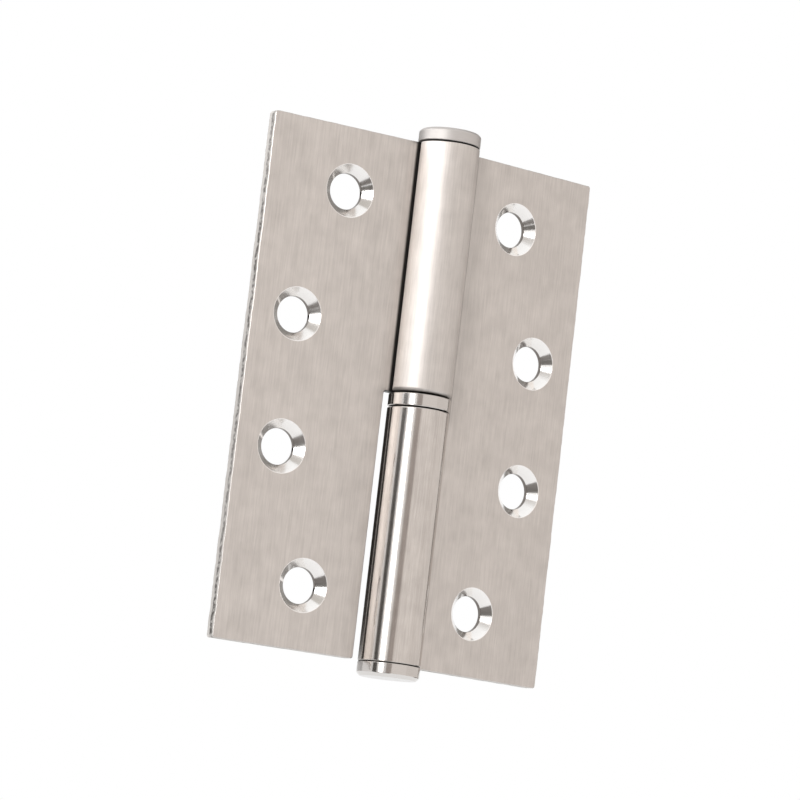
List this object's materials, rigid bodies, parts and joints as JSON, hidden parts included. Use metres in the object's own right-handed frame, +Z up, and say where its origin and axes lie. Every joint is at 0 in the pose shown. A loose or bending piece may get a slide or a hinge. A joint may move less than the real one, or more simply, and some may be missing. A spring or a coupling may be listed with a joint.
{
  "type": "lift-off hinge",
  "caption": "Lift-off door hinge of rolled stainless sheet: two leaves with countersunk screw holes, a fixed pin, a thrust washer and knuckle caps.",
  "frame": {"origin": "on the frame leaf's back face, at mid-height and midway between its near and far screw holes", "axes": "+X from the pin towards the frame leaf's free edge, +Y out of the frame leaf's back into what it is screwed to, +Z up along the pin"},
  "size_m": [0.0744, 0.0148, 0.1056],
  "materials": {
    "leaf_sheet": "satin",
    "turned_steel": "polished"
  },
  "bodies": {
    "frame_side": {"frame_leaf": "leaf_sheet", "pin": "turned_steel", "bottom_cap": "turned_steel"},
    "washer": {"thrust_washer": "turned_steel"},
    "door_side": {"door_leaf": "leaf_sheet", "top_cap": "turned_steel"}
  },
  "joints": [
    {"name": "swing", "type": "hinge", "parent": "frame_side", "child": "washer", "pos_m": [-0.02375, -0.0037, 0], "axis": [0, 0, 1], "range_deg": [-82, 188]},
    {"name": "lift_off", "type": "slide", "parent": "washer", "child": "door_side", "axis": [0, 0, 1], "range_m": [0, 0.045]}
  ]
}
